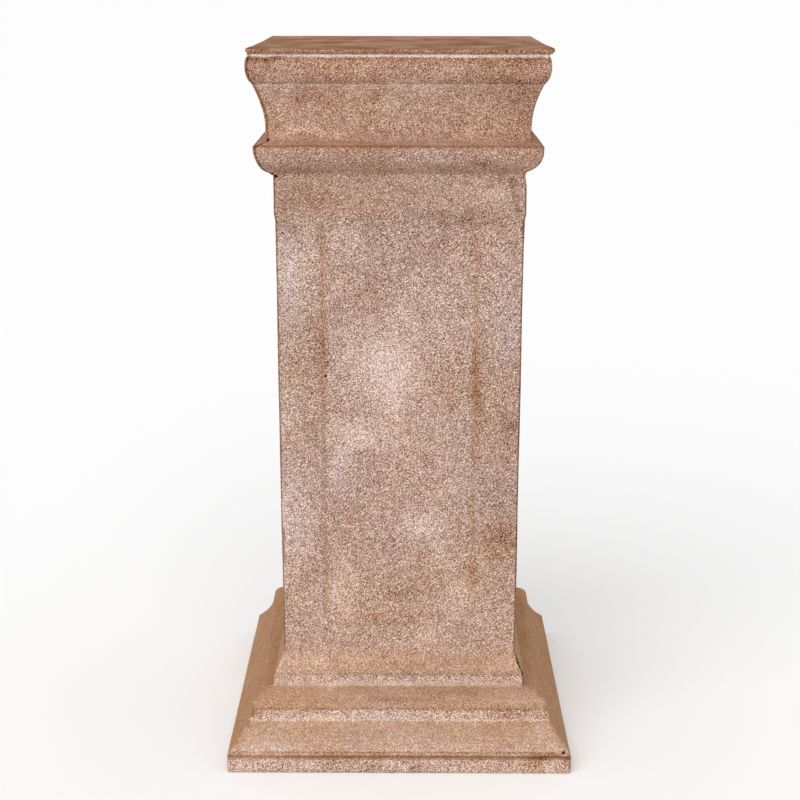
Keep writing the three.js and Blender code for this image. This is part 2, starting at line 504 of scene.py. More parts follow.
def on_front(place):
    """True on the front side, and just round its corners."""
    return -place.y > abs(place.x) - CORNER_REACH


def line_weight(across, height, start, end, width):
    """1 on a line, falling to 0 at its width."""
    here = Vector((across, height)) / MM
    share = geometry.intersect_point_line(here, Vector(start), Vector(end))[1]
    nearest = Vector(start).lerp(Vector(end), min(1, max(0, share)))
    return max(0.0, 1 - (here - nearest).length / width)


def flaw_weight(place, start, end, width):
    """1 on the line of a flaw, and 0 beside it and on the other three sides."""
    return line_weight(place.x, place.z, start, end, width) if on_front(place) else 0.0


def middle_of(edge):
    """The point half way along an edge."""
    return (edge.verts[0].co + edge.verts[1].co) / 2


def press_flaws(bm, flaws):
    """Cut the mesh finer along each flaw, press it in and note on its vertices how dark it is."""
    dirt = bm.verts.layers.float.new("flaws")
    for start, end, width, depth, darker in flaws:
        reach = width + GRID / MM
        near = [edge for edge in bm.edges if flaw_weight(middle_of(edge), start, end, reach)]
        bmesh.ops.subdivide_edges(bm, edges=near, cuts=FLAW_CUTS, use_grid_fill=True)
        bm.normal_update()
        for vertex in bm.verts:
            weight = flaw_weight(vertex.co, start, end, width)
            vertex[dirt] = max(vertex[dirt], darker * weight)
            vertex.co -= vertex.normal * depth * MM * weight


press_flaws(base_mesh, BASE_FLAWS)
press_flaws(shaft_mesh, SHAFT_FLAWS)
press_flaws(capital_mesh, CAPITAL_FLAWS)
print("flaws pressed:", len(BASE_FLAWS) + len(SHAFT_FLAWS) + len(CAPITAL_FLAWS))

# %% [markdown]
# ## From mesh to piece
# Each finished bmesh becomes an object that stands for one node of the CAD model. It is shaded smooth,
# except at folds sharper than the limit, so the rounded hips stay soft and the creases stay crisp.

# %% Pieces
SHARP_FOLD = math.radians(38)


def finish_piece(bm, name, cad_node):
    """Turn a bmesh into an object that stands for its CAD node."""
    mesh = bpy.data.meshes.new(name)
    bm.to_mesh(mesh)
    bm.free()
    mesh.shade_smooth()
    mesh.set_sharp_from_angle(angle=SHARP_FOLD)
    piece = bpy.data.objects.new(name, mesh)
    bpy.context.scene.collection.objects.link(piece)
    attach(piece, "root")
    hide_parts(cad_node)
    print(name, "triangles:", sum(len(face.vertices) - 2 for face in mesh.polygons))
    return piece


base = finish_piece(base_mesh, "painted_base", "base")
shaft = finish_piece(shaft_mesh, "painted_shaft", "shaft")
capital = finish_piece(capital_mesh, "painted_capital", "capital")
top_plate = finish_piece(plate_mesh, "painted_top_plate", "top_plate")

# %% [markdown]
# ## Cloudy patches
# The sponge left paler and browner clouds on the front, and their places are part of this column's look.
# A painter would dab them on by hand; here they are given as a list: each patch is an ellipse with a soft
# edge, given by its middle and half sizes in millimetres, and by how much it makes the paint paler and
# warmer.
# They are stored on the vertices as an attribute for the shader. The other three sides get no patches,
# only the shader's own clouds.

# %% Patches on the trunk
# x, height, half width, half height, paler, warmer
SHAFT_PATCHES = (
    # the large pale cloud in the middle of the panel and its tail down to the left
    (-6, 450, 27, 43, 0.18, -0.06),
    (-39, 453, 19, 32, 0.11, 0),
    (-4, 406, 15, 24, 0.13, 0),
    (-44, 371, 30, 15, 0.2, -0.09),
    (-65, 332, 13, 21, 0.12, -0.15),
    # the lower pale cloud
    (23, 269, 24, 14, 0.16, -0.12),
    (48, 240, 9, 20, 0.1, 0),
    (55, 309, 15, 9, 0.08, 0),
    # the left stile, pale at the top and again below the middle
    (-117, 555, 19, 32, 0.12, -0.21),
    (-126, 389, 13, 13, 0.13, -0.12),
    (-120, 281, 22, 50, 0.12, -0.2),
    (-112, 515, 16, 25, 0.02, -0.15),
    (-105, 450, 18, 35, -0.02, 0.2),
    (-130, 210, 12, 20, 0.1, 0),
    # small pale dabs at the panel's head and foot
    (-53, 581, 11, 17, 0.1, -0.15),
    (-63, 192, 13, 34, 0.12, 0),
    (63, 186, 16, 21, 0.13, 0),
    (35, 138, 23, 14, 0.07, 0),
    # cool grey on the right stile and the right of the neck
    (112, 499, 16, 48, 0.05, -0.25),
    (112, 380, 22, 230, -0.05, 0),
    (94, 633, 26, 10, 0.07, -0.06),
    # brown in the neck, and under it a darker strip that is painted shadow of the neck band's step
    (-102, 626, 36, 18, -0.09, 0.04),
    (-62, 631, 80, 20, 0, 0.18),
    (-123, 600, 16, 12, -0.11, 0),
    # painted shadow under the step of the neck band
    (68, 608, 42, 8, -0.14, 0),
    (40, 586, 10, 19, -0.06, 0),
    # a darker head of the panel
    (1, 574, 48, 37, -0.06, 0),
    (65, 584, 25, 20, -0.06, 0),
    # brown in the panel's upper left and along its left edge
    (-30, 531, 15, 19, -0.08, 0.12),
    (-84, 466, 15, 27, -0.11, 0.12),
    (-73, 504, 11, 9, -0.07, 0),
    (-83, 499, 7, 55, 0, 0.21),
    (-94, 400, 9, 45, -0.05, 0),
    # brown along the panel's right edge and on the right stile
    (85, 411, 8, 54, -0.1, 0.18),
    (85, 440, 5, 100, -0.08, 0.1),
    (115, 335, 20, 60, -0.04, 0),
    (60, 422, 27, 27, -0.05, 0.15),
    (44, 439, 14, 20, -0.06, 0),
    (120, 383, 13, 16, -0.11, 0),
    (108, 400, 25, 45, 0, 0.18),
    (108, 254, 18, 18, -0.14, 0.36),
    (84, 263, 11, 11, -0.06, 0),
    (82, 210, 9, 13, -0.11, 0.24),
    # brown smudges near the foot
    (-13, 246, 9, 10, -0.1, 0),
    (-59, 286, 16, 13, -0.06, 0),
    (-16, 156, 28, 8, -0.11, 0),
    (-112, 150, 22, 11, -0.05, 0),
    (-99, 216, 11, 17, -0.06, 0),
    (10, 190, 20, 14, -0.06, 0.09),
    (-10, 204, 120, 45, 0, 0.15),
)
print("patches on the trunk:", len(SHAFT_PATCHES))

# %% [markdown]
# ### The capital's patches
# The clouds of the capital are small, because every member of the moulding was dabbed on its own. One big
# noise would run across the members, so this is a list again.

# %% Patches on the capital
CAPITAL_PATCHES = (
    # the upper ovolo: brown ends, a few pale dabs, warm on the left
    (-147, 759, 10, 10, -0.05, 0),
    (118, 749, 32, 6, -0.1, 0),
    (103, 763, 25, 8, -0.06, 0),
    (-89, 761, 12, 9, -0.07, 0),
    (-95, 762, 55, 9, 0.03, 0.2),
    (-36, 762, 15, 4, 0.07, 0),
    (50, 761, 9, 4, 0.08, 0),
    # the pale line under the plate is weaker at its ends
    (132, 773, 22, 3, -0.15, 0),
    (-132, 773, 28, 3, -0.25, 0),
    # pale dabs along the head of the cove, brown to the right
    (-141, 742, 8, 6, 0.11, 0),
    (-114, 742, 8, 7, 0.09, 0),
    (-43, 741, 10, 7, 0.12, 0),
    (-5, 743, 14, 6, 0.12, 0),
    (30, 745, 35, 4, 0, -0.2),
    (24, 739, 10, 7, 0.12, 0),
    (113, 739, 30, 10, -0.05, 0),
    # the middle of the cove: a red-brown patch on the left, cool and dark to the right
    (-81, 734, 25, 8, -0.03, 0.24),
    (-96, 732, 7, 6, -0.07, 0.06),
    (-26, 736, 6, 5, -0.09, 0.18),
    (-117, 724, 5, 5, 0.1, 0),
    (-13, 725, 9, 5, 0.1, 0),
    (52, 718, 60, 25, -0.02, -0.09),
    (123, 716, 18, 28, -0.09, 0),
    # the foot of the cove: pale on the left
    (-89, 696, 32, 5, 0.15, 0),
    (-112, 696, 8, 5, 0.08, 0),
    (-141, 695, 8, 5, 0.11, 0),
    (40, 691, 9, 3, 0.09, 0),
    (75, 692, 7, 4, 0.11, 0),
    # the dark lip and the warm ledge weaken to the right
    (95, 683.5, 45, 1.5, 0.12, 0),
    (90, 686, 60, 4, 0, -0.15),
    # the lower ovolo: a pale left end, cool dabs on the right, a brown smudge under it
    (-131, 676, 8, 6, 0.11, 0.15),
    (-48, 674, 10, 6, -0.06, 0),
    (32, 676, 16, 5, 0.08, -0.15),
    (93, 675, 14, 5, 0.04, -0.12),
    (84, 665, 10, 3.5, -0.28, 0.4),
    (-114, 661, 20, 6, -0.09, 0),
    (-38, 664, 22, 5, -0.06, 0),
)
print("patches on the capital:", len(CAPITAL_PATCHES))

# %% [markdown]
# ### The base's patches
# On the base the pale dabs follow the band, the long slope and the plinth, and brown dirt has gathered at
# the plinth's right end. They are placed member by member too.

# %% Patches on the base
BASE_PATCHES = (
    # the upper slope, pale on the left
    (-89, 104, 45, 10, 0.07, 0),
    (-137, 104, 10, 9, 0.09, -0.3),
    (1, 109, 15, 9, 0, 0.15),
    (103, 103, 14, 6, 0.05, 0),
    (35, 109, 45, 8, -0.04, 0),
    # the fillet
    (-72, 86, 14, 4, 0.08, 0),
    (114, 86, 18, 5, -0.06, 0),
    # brown on the shoulder
    (-4, 75, 28, 4, -0.12, 0.06),
    (45, 75, 16, 4, -0.08, 0),
    (80, 76, 14, 3, -0.07, 0),
    (-106, 76, 20, 4, 0, 0.12),
    # the band, palest left of the middle
    (-117, 56, 20, 5, 0.08, 0),
    (-72, 55, 14, 5, 0.09, 0),
    (-16, 56, 25, 5, 0.06, 0),
    (125, 58, 28, 7, -0.12, 0.2),
    (89, 55, 8, 5, 0.06, 0),
    (-168, 60, 5, 9, -0.12, 0.4),
    (-163.5, 60, 1.5, 8, -0.2, 0.1),
    (166, 60, 7, 9, -0.08, 0.35),
    # the long slope, pale at the left
    (-161, 36, 18, 9, 0.07, 0),
    (-135, 28, 32, 3, 0.09, -0.25),
    (-111, 45, 12, 5, 0.05, 0),
    (119, 36, 40, 10, -0.03, 0),
    (113, 40, 12, 8, -0.03, 0.15),
    (156, 43, 7, 8, 0.03, -0.25),
    (30, 47, 14, 5, -0.05, 0),
    # the plinth, with brown dirt at its right end
    (-150, 19, 45, 4, 0.12, 0),
    (-160, 9, 22, 8, 0.1, 0),
    (-103, 9, 10, 7, 0.12, -0.2),
    (-70, 9, 10, 7, -0.05, 0),
    (-34, 9, 6, 6, -0.14, 0.1),
    (4, 10, 12, 7, 0.13, -0.15),
    (20, 9, 6, 5, -0.14, 0.1),
    (38, 9, 9, 6, 0.07, -0.1),
    (148, 13, 10, 8, -0.13, 0.15),
    (164, 20, 16, 4, -0.22, 0.15),
    (170, 9, 9, 7, 0.06, -0.1),
    (187, 12, 4, 9, -0.22, 0.1),
)
print("patches on the base:", len(BASE_PATCHES))

# %% [markdown]
# ## Storing the patches
# Noise moves each vertex about before it is measured against the ellipses, so the clouds get ragged
# edges. Two more things ride along in the same attribute: a thin dark brown line on the folded corners of
# the trunk and the capital, which is painted shade at the outline where the sides turn from the light, and
# a tan line along the bevels of the sunk panels. The two flanks of the base were brushed over with one
# plain tan wash that fades in round the corner, softly on the two lower slopes, and an attribute of their
# own says how much there is.

# %% Patches to vertices
# lines between two points of (across, height), in millimetres
PANEL_EDGES = (((-82, 163), (-82, 600)), ((80, 163), (80, 600)), ((-82, 163), (80, 163)))
PANEL_EDGE_WIDTH = 4.5
# a shift is how much paler, warmer and grainier the paint is
PANEL_EDGE_SHIFT = (-0.04, 0.25, -0.2)
# length of the noise, and how far it moves a place
RAGGED = ((30 * MM, 9 * MM), (9 * MM, 3 * MM))
# width and shift of a dark line on the folded corners: painted shade at the column's outline
CORNER_SHADE_WIDTH = 1.5 * MM
CORNER_SHADE_SHIFT = (-0.3, 0.2, -0.3)
# heights between which the wash fades softly, and where it starts and is full past the corner
SOFT_FOLD = (27 * MM, 82 * MM)
SOFT_WASH = (-9 * MM, 10 * MM)
CRISP_WASH = (-0.5 * MM, 4 * MM)
WASH_COVER = 0.88


def ragged(place):
    """A place moved about by noise, in millimetres."""
    moved = place.copy()
    for length, reach in RAGGED:
        moved += noise.noise_vector(place / length) * reach
    return moved / MM


def paint_shift(place, patches, shaded_corners, panelled):
    """How much paler, warmer and grainier the paint is at one place than planned for its height."""
    shift = Vector()
    # painted shade: a dark line along the folded corners
    if shaded_corners and abs(abs(place.x) - abs(place.y)) < CORNER_SHADE_WIDTH:
        shift += Vector(CORNER_SHADE_SHIFT)
    if panelled:
        across = place.x if abs(place.y) > abs(place.x) else place.y
        edge = max(line_weight(across, place.z, start, end, PANEL_EDGE_WIDTH) for start, end in PANEL_EDGES)
        shift += Vector(PANEL_EDGE_SHIFT) * edge
    if on_front(place):
        x, _, z = ragged(place)
        for across, height, half_width, half_height, paler, warmer in patches:
            weight = math.exp(-(((x - across) / half_width) ** 2) - ((z - height) / half_height) ** 2)
            shift += Vector((paler, warmer, 0)) * weight
    return shift


def store_patches(piece, patches, shaded_corners=True, panelled=False):
    """Write the paint's shift at every vertex into the attribute that the shader reads."""
    attribute = piece.data.attributes.new("patches", "FLOAT_VECTOR", "POINT")
    for vertex, value in zip(piece.data.vertices, attribute.data):
        value.vector = paint_shift(vertex.co, patches, shaded_corners, panelled)
    print(piece.name, "vertices with patches:", len(attribute.data))


def store_flanks(piece):
    """Write how much of the flanks' wash lies on each vertex: none on the front, all round the corner."""
    attribute = piece.data.attributes.new("flanks", "FLOAT", "POINT")
    for vertex, value in zip(piece.data.vertices, attribute.data):
        place = vertex.co
        start, full = CRISP_WASH
        if SOFT_FOLD[0] < place.z < SOFT_FOLD[1]:
            place = ragged(place) * MM
            start, full = SOFT_WASH
        beyond = abs(place.x) - abs(place.y)
        value.value = WASH_COVER * min(1, max(0, (beyond - start) / (full - start)))
    print(piece.name, "flanks washed, cover:", WASH_COVER)


# the base gets no painted shade on its corners
store_patches(base, BASE_PATCHES, shaded_corners=False)
store_flanks(base)
store_patches(shaft, SHAFT_PATCHES, panelled=True)
store_patches(capital, CAPITAL_PATCHES)

# %% [markdown]
# ## Colours and nodes
# Colours are written as they look on a screen, in sRGB hex, and one function turns them into the linear
# light that Blender's shaders work in. One more function adds a node, sets its values and links its
# inputs, and a third asks it for noise of a real size.

# %% Colour and node helpers
BRIGHTEST = 255
RED_GREEN_BLUE = (slice(1, 3), slice(3, 5), slice(5, 7))


def linear(hex_colour):
    """An sRGB hex colour as linear red, green, blue and alpha."""
    shown = Color([int(hex_colour[part], 16) / BRIGHTEST for part in RED_GREEN_BLUE])
    return (*shown.from_srgb_to_scene_linear(), 1.0)


def add_node(tree, kind, inputs=None, stops=None, **settings):
    """Add a node with its settings. An input that is a socket is linked, any other value is set."""
    made = tree.nodes.new(kind)
    for name, value in settings.items():
        setattr(made, name, value)
    for name, value in (inputs or {}).items():
        if isinstance(value, bpy.types.NodeSocket):
            tree.links.new(value, made.inputs[name])
        else:
            made.inputs[name].default_value = value
    if stops:
        ramp = made.color_ramp.elements
        while len(ramp) < len(stops):
            ramp.new(1.0)
        for element, (position, colour) in zip(ramp, stops):
            element.position = position
            element.color = colour
    return made


def noise_of(tree, place, size, detail):
    """Noise with features of about this size."""
    return add_node(tree, "ShaderNodeTexNoise", {"Vector": place, "Scale": 1 / size, "Detail": detail})


print("half grey on a screen is linear", round(linear("#808080")[0], 3))

# %% [markdown]
# ## Sponged stone paint: the plan
# The finish is a thick matt paint, sponged and spattered in three tones until it looks like weathered
# stone. Three numbers say what the brush did at a place: how pale the paint is, how warm it is (grey pink
# to tan) and how strong its grain is. A ramp up the height gives these three for each member of a
# moulding, pale on the edges and dark in the creases. Slow noise makes the lines wander and lays clouds
# over them.

# %% The plan of the paint
WANDER = 45 * MM
WANDER_DETAIL = 3.0
FRAY = 3 * MM
FRAY_DETAIL = 2.0
CLOUD = 75 * MM
CLOUD_DETAIL = 3.0
# paleness, warmth and grain
CLOUD_STRENGTH = (0.12, 0.5, 0.08)
HALF = (0.5, 0.5, 0.5)
FLANK_WASH = (0.545, 1.05, 0.4)
# sockets of a mix node for vectors
FROM_PLAN, TO_WASH, VECTOR_RESULT = 4, 5, 1


def height_ramp(bands):
    """Ramp stops from (height in millimetres, paleness, warmth, grain), lowest first."""
    lowest, highest = bands[0][0], bands[-1][0]
    return [((height - lowest) / (highest - lowest), (*tones, 1)) for height, *tones in bands]


def around_zero(tree, socket, contrast):
    """A noise value moved to lie around zero, and made stronger."""
    spread = {0: socket, 1: contrast, 2: -contrast / 2}
    return add_node(tree, "ShaderNodeMath", spread, operation="MULTIPLY_ADD").outputs["Value"]


def plan_by_height(tree, place, bands, wander_reach, fray_reach):
    """Paleness, warmth and grain for the height of a place, along lines that wander like hand work."""
    wander = noise_of(tree, place, WANDER, WANDER_DETAIL)
    height = add_node(tree, "ShaderNodeSeparateXYZ", {"Vector": place})
    moved = {0: wander.outputs["Fac"], 1: 2 * wander_reach, 2: height.outputs["Z"]}
    line = add_node(tree, "ShaderNodeMath", moved, operation="MULTIPLY_ADD")
    fray = noise_of(tree, place, FRAY, FRAY_DETAIL)
    torn = {0: around_zero(tree, fray.outputs["Fac"], fray_reach), 1: line.outputs["Value"]}
    frayed = add_node(tree, "ShaderNodeMath", torn, operation="ADD")
    ends = {
        "Value": frayed.outputs["Value"],
        "From Min": bands[0][0] * MM + wander_reach,
        "From Max": bands[-1][0] * MM + wander_reach,
    }
    share = add_node(tree, "ShaderNodeMapRange", ends)
    ramp_place = {"Fac": share.outputs["Result"]}
    return add_node(tree, "ShaderNodeValToRGB", ramp_place, stops=height_ramp(bands))


def lay_clouds(tree, place, plan):
    """Slow clouds over the plan, and the patches that were dabbed on the front."""
    # a piece without this attribute reads 0 and gets no wash
    flanks = add_node(tree, "ShaderNodeAttribute", attribute_name="flanks")
    over = {"Factor": flanks.outputs["Fac"], FROM_PLAN: plan.outputs["Color"], TO_WASH: FLANK_WASH}
    washed = add_node(tree, "ShaderNodeMix", over, data_type="VECTOR")
    clouds = noise_of(tree, place, CLOUD, CLOUD_DETAIL)
    centred = {0: clouds.outputs["Color"], 1: HALF}
    drift = add_node(tree, "ShaderNodeVectorMath", centred, operation="SUBTRACT")
    laid = {0: drift.outputs["Vector"], 1: CLOUD_STRENGTH, 2: washed.outputs[VECTOR_RESULT]}
    clouded = add_node(tree, "ShaderNodeVectorMath", laid, operation="MULTIPLY_ADD")
    patches = add_node(tree, "ShaderNodeAttribute", attribute_name="patches")
    both = {0: clouded.outputs["Vector"], 1: patches.outputs["Vector"]}
    brushed = add_node(tree, "ShaderNodeVectorMath", both, operation="ADD")
    return add_node(tree, "ShaderNodeSeparateXYZ", {"Vector": brushed.outputs["Vector"]})


print("clouds, mm across:", round(CLOUD / MM))

# %% [markdown]
# ## Sponged stone paint: grain and streaks
# Where the sponge was dabbed, fine pale and dark specks stand side by side. Where the brush was drawn
# along a slope, there are faint streaks instead. The grain's noise is turned on its axes first: noise
# looks weaker on a flat face that lies along its grid, and a turned grid is cut at a slant by every face
# alike.

# %% Grain and streaks
# the specks are drawn as coarse as they need to be to show: finer ones blur to one even tone
GRAIN = 1.4 * MM
GRAIN_DETAIL = 1.0
GRAIN_CONTRAST = 2.17
GRAIN_TURN = (0.6, 0.5, 0.35)
MOTTLE = 8 * MM
MOTTLE_DETAIL = 2.0
MOTTLE_CONTRAST = 0.35
STREAK_DETAIL = 5.0
# lengths of the streaks along x, y and z, and how strong they are
STREAK_ROUND_COLUMN = ((60 * MM, 60 * MM, 2.5 * MM), 0.36)
STREAK_ACROSS_PLATE = ((35 * MM, 50 * MM, 9 * MM), 1.4)


def sponge_grain(tree, place):
    """The fine specks, and the noise they come from."""
    slant = {"Vector": place, "Rotation": GRAIN_TURN}
    turned = add_node(tree, "ShaderNodeMapping", slant).outputs["Vector"]
    fine = noise_of(tree, turned, GRAIN, GRAIN_DETAIL)
    coarse = noise_of(tree, turned, MOTTLE, MOTTLE_DETAIL)
    specks = around_zero(tree, fine.outputs["Fac"], GRAIN_CONTRAST)
    mottle = around_zero(tree, coarse.outputs["Fac"], MOTTLE_CONTRAST)
    grain = add_node(tree, "ShaderNodeMath", {0: specks, 1: mottle}, operation="ADD")
    return grain.outputs["Value"], fine


def brush_streaks(tree, place, lengths, contrast):
    """Faint streaks, long in some directions and short in the others."""
    drawn = {0: place, 1: lengths}
    stretched = add_node(tree, "ShaderNodeVectorMath", drawn, operation="DIVIDE").outputs["Vector"]
    streaks = noise_of(tree, stretched, 1, STREAK_DETAIL)
    return around_zero(tree, streaks.outputs["Fac"], contrast)


print("specks, mm across:", round(GRAIN / MM, 1))

# %% [markdown]
# ## Sponged stone paint: from tone to colour
# The grain number decides how much of the specks and of the streaks is added to the paleness, and the
# dirt in the flaws is taken off it. Two colour ramps turn this tone into colour: one for the grey pink of
# the stone, and one for the wash, which is tan on the base and the trunk and redder on the capital and
# the plate. The warmth mixes the two. Slow noise then turns the hue a little, because no hand mixes its
# paint evenly.

# %% Tone and colour
# shades from dirt to worn paint, and where they stand on a ramp
SHADE_PLACES = (0.0, 0.04, 0.3, 0.5, 0.7, 1.0)
PINK_GREY = ("#20120c", "#5c4034", "#83665b", "#9f867c", "#b8a096", "#e6d2ca")
TAN = ("#20120c", "#5c3417", "#83552b", "#9f7551", "#b88f6d", "#e6c4a6")
RED_BROWN = ("#20120c", "#5c3219", "#835430", "#9f7455", "#b88e71", "#e6c3a9")
HUE_SPOT = 12 * MM
HUE_DETAIL = 3.0
HUE_SPREAD = 0.02
SAME_HUE = 0.5
# sockets of a mix node for colours
MIX_A, MIX_B, MIX_RESULT = 6, 7, 2


def paint_tone(tree, brushed, grain, streaks):
    """How light the paint is: its plan with specks or streaks, less the dirt in the flaws."""
    between = {"Factor": brushed.outputs["Z"], "A": streaks, "B": grain}
    marks = add_node(tree, "ShaderNodeMix", between, clamp_factor=False)
    sum_up = {0: marks.outputs["Result"], 1: brushed.outputs["X"]}
    clean = add_node(tree, "ShaderNodeMath", sum_up, operation="ADD").outputs["Value"]
    dirt = add_node(tree, "ShaderNodeAttribute", attribute_name="flaws").outputs["Fac"]
    return add_node(tree, "ShaderNodeMath", {0: clean, 1: dirt}, operation="SUBTRACT").outputs["Value"]


def tone_ramp(tree, tone, shades):
    """The colour of a tone on a ramp of shades."""
    stops = [(position, linear(shade)) for position, shade in zip(SHADE_PLACES, shades)]
    return add_node(tree, "ShaderNodeValToRGB", {"Fac": tone}, stops=stops).outputs["Color"]


def paint_colour(tree, place, tone, warmth, wash):
    """The tone as a colour between grey pink and the wash, redder or greener from spot to spot."""
    shades = {"Factor": warmth, MIX_A: tone_ramp(tree, tone, PINK_GREY), MIX_B: tone_ramp(tree, tone, wash)}
    mixed = add_node(tree, "ShaderNodeMix", shades, data_type="RGBA").outputs[MIX_RESULT]
    hues = noise_of(tree, place, HUE_SPOT, HUE_DETAIL)
    spread = {"Value": hues.outputs["Fac"], "To Min": SAME_HUE - HUE_SPREAD, "To Max": SAME_HUE + HUE_SPREAD}
    hue = add_node(tree, "ShaderNodeMapRange", spread).outputs["Result"]
    return add_node(tree, "ShaderNodeHueSaturation", {"Color": mixed, "Hue": hue}).outputs["Color"]


print("shades on each ramp:", len(SHADE_PLACES))

# %% [markdown]
# ## Sponged stone paint: the material
# The parts come together in one function, so that the four pieces get the same paint. The specks also
# stand up: the noise that colours them drives the bump, and it makes the raised grains a little duller. A
# modelled grain would take millions of faces and look no different from here.

# %% The paint
SPECK_TINT = 0.4
GRAIN_HEIGHT = 0.25 * MM
GRAIN_BUMP = 0.35
DULLEST, LEAST_DULL = 0.95, 0.75
CHALKY_SHINE = 0.15


def sponged_paint(name, bands, wash, wander, streak):
    """Matt sponged paint: soft clouds and a hard fine grain, with almost no shine."""
    material = bpy.data.materials.new(name)
    material.use_nodes = True
    tree = material.node_tree
    place = add_node(tree, "ShaderNodeTexCoord").outputs["Object"]
    brushed = lay_clouds(tree, place, plan_by_height(tree, place, bands, *wander))
    grain, fine = sponge_grain(tree, place)
    tone = paint_tone(tree, brushed, grain, brush_streaks(tree, place, *streak))
    tint = add_node(tree, "ShaderNodeSeparateXYZ", {"Vector": fine.outputs["Color"]})
    warm = {0: around_zero(tree, tint.outputs["Y"], SPECK_TINT), 1: brushed.outputs["Y"]}
    warmth = add_node(tree, "ShaderNodeMath", warm, operation="ADD").outputs["Value"]
    colour = paint_colour(tree, place, tone, warmth, wash)
    raised = {"Height": fine.outputs["Fac"], "Distance": GRAIN_HEIGHT, "Strength": GRAIN_BUMP}
    bump = add_node(tree, "ShaderNodeBump", raised).outputs["Normal"]
    dull = {"Value": fine.outputs["Fac"], "To Min": LEAST_DULL, "To Max": DULLEST}
    roughness = add_node(tree, "ShaderNodeMapRange", dull).outputs["Result"]
    shader = tree.nodes["Principled BSDF"]
    shader.inputs["Specular IOR Level"].default_value = CHALKY_SHINE
    tree.links.new(colour, shader.inputs["Base Color"])
    tree.links.new(roughness, shader.inputs["Roughness"])
    tree.links.new(bump, shader.inputs["Normal"])
    print(name, "nodes:", len(tree.nodes))
    return material


# %% [markdown]
# ## Four pieces, four plans
# Each piece gets the paint with its own plan. A row is a height in millimetres, then paleness, warmth and
# grain. Bands and fillets are pale and grainy, slopes and ledges are tan and smooth, and creases are
# dark.

# %% The base's paint
# how far the lines of the bands wander, and how far they fray
BASE_WANDER = (0.5 * MM, 2.2 * MM)
BASE_BANDS = (
    # the plinth, and the brown crease under the bead
    (0.0, 0.62, 0.42, 1.15),
    (15.8, 0.62, 0.42, 1.15),
    (17.6, 0.46, 0.75, 0.5),
    (19.6, 0.44, 0.8, 0.5),
    # the bead, the crease over it and the pale foot of the long slope
    (20.6, 0.58, 0.55, 0.8),
    (23.4, 0.58, 0.55, 0.8),
    (24.6, 0.42, 0.8, 0.5),
    (25.7, 0.71, 0.42, 0.7),
    (27.2, 0.66, 0.55, 0.65),
    # the long slope
    (36.0, 0.622, 0.6, 0.55),
    (49.0, 0.602, 0.65, 0.5),
    (51.6, 0.6, 0.6, 0.55),
    # the pale band, with a paler edge below and a dark line above
    (52.4, 0.75, 0.4, 0.6),
    (54.0, 0.73, 0.34, 0.75),
    (57.0, 0.65, 0.34, 0.95),
    (63.0, 0.63, 0.36, 1.0),
    (65.4, 0.44, 0.65, 0.7),
    # the brown shoulder
    (67.5, 0.58, 0.68, 0.5),
    (71.0, 0.58, 0.7, 0.5),
    (81.4, 0.61, 0.66, 0.5),
    # the fillet, painted in the same way as the band
    (82.4, 0.74, 0.4, 0.5),
    (86.0, 0.73, 0.36, 0.6),
    (89.0, 0.66, 0.3, 0.9),
    (93.0, 0.62, 0.32, 1.0),
    (95.3, 0.46, 0.55, 0.8),
    # the upper slope
    (97.5, 0.582, 0.65, 0.6),
    (118.5, 0.602, 0.6, 0.7),
)
base_paint = sponged_paint("base_sponged_paint", BASE_BANDS, TAN, BASE_WANDER, STREAK_ROUND_COLUMN)
base.data.materials.append(base_paint)

# %% [markdown]
# ### The trunk
# The trunk is the greyest and grainiest piece. It is sponged alike nearly all over, so a few rows are
# enough, and its bands may wander widely.

# %% The trunk's paint
TRUNK_WANDER = (6 * MM, 3 * MM)
SHAFT_BANDS = (
    # the foot of the trunk, where the tan of the base runs up
    (118.5, 0.6, 0.45, 0.85),
    (145.0, 0.58, 0.32, 1.0),
    # the panelled trunk
    (240.0, 0.565, 0.25, 1.0),
    (330.0, 0.565, 0.21, 1.0),
    (600.0, 0.565, 0.21, 1.0),
    # the browner neck
    (615.0, 0.54, 0.28, 0.84),
    (653.5, 0.54, 0.28, 0.84),
)
trunk_paint = sponged_paint("trunk_sponged_paint", SHAFT_BANDS, TAN, TRUNK_WANDER, STREAK_ROUND_COLUMN)
shaft.data.materials.append(trunk_paint)

# %% [markdown]
# ### The capital
# The capital is browner than the trunk, and its mouldings are close together, so its bands wander less.
# The line just under the plate is painted in the capital's palest tone.

# %% The capital's paint
CAPITAL_WANDER = (0.4 * MM, 1.2 * MM)
CAPITAL_BANDS = (
    # the lower ovolo, darker underneath: painted shade under its bulge
    (653.5, 0.48, 0.48, 0.8),
    (660.0, 0.5, 0.44, 0.82),
    (668.0, 0.52, 0.4, 0.87),
    (679.0, 0.52, 0.42, 0.87),
    # the dark lip and the smooth tan ledge
    (682.2, 0.47, 0.54, 0.7),
    (683.1, 0.28, 0.7, 0.4),
    (683.8, 0.3, 0.7, 0.4),
    (684.5, 0.51, 0.66, 0.5),
    (687.5, 0.52, 0.64, 0.5),
    # the cove, with a pale line at its head
    (689.0, 0.56, 0.62, 0.65),
    (700.0, 0.55, 0.6, 0.87),
    (741.0, 0.55, 0.58, 0.87),
    (744.0, 0.61, 0.45, 0.7),
    (745.2, 0.66, 0.42, 0.6),
    # the upper ovolo, browner towards its foot
    (745.9, 0.43, 0.58, 0.8),
    (750.0, 0.48, 0.57, 0.87),
    (760.0, 0.52, 0.55, 0.87),
    (767.0, 0.5, 0.55, 0.87),
    # a red-brown line, and the pale line under the plate
    (770.5, 0.43, 0.72, 0.8),
    (771.6, 0.46, 0.6, 0.8),
    (772.8, 0.88, 0.12, 0.75),
    (773.6, 0.95, 0.08, 0.75),
    (775.0, 0.95, 0.08, 0.75),
)
capital_paint = sponged_paint(
    "capital_sponged_paint", CAPITAL_BANDS, RED_BROWN, CAPITAL_WANDER, STREAK_ROUND_COLUMN
)
capital.data.materials.append(capital_paint)
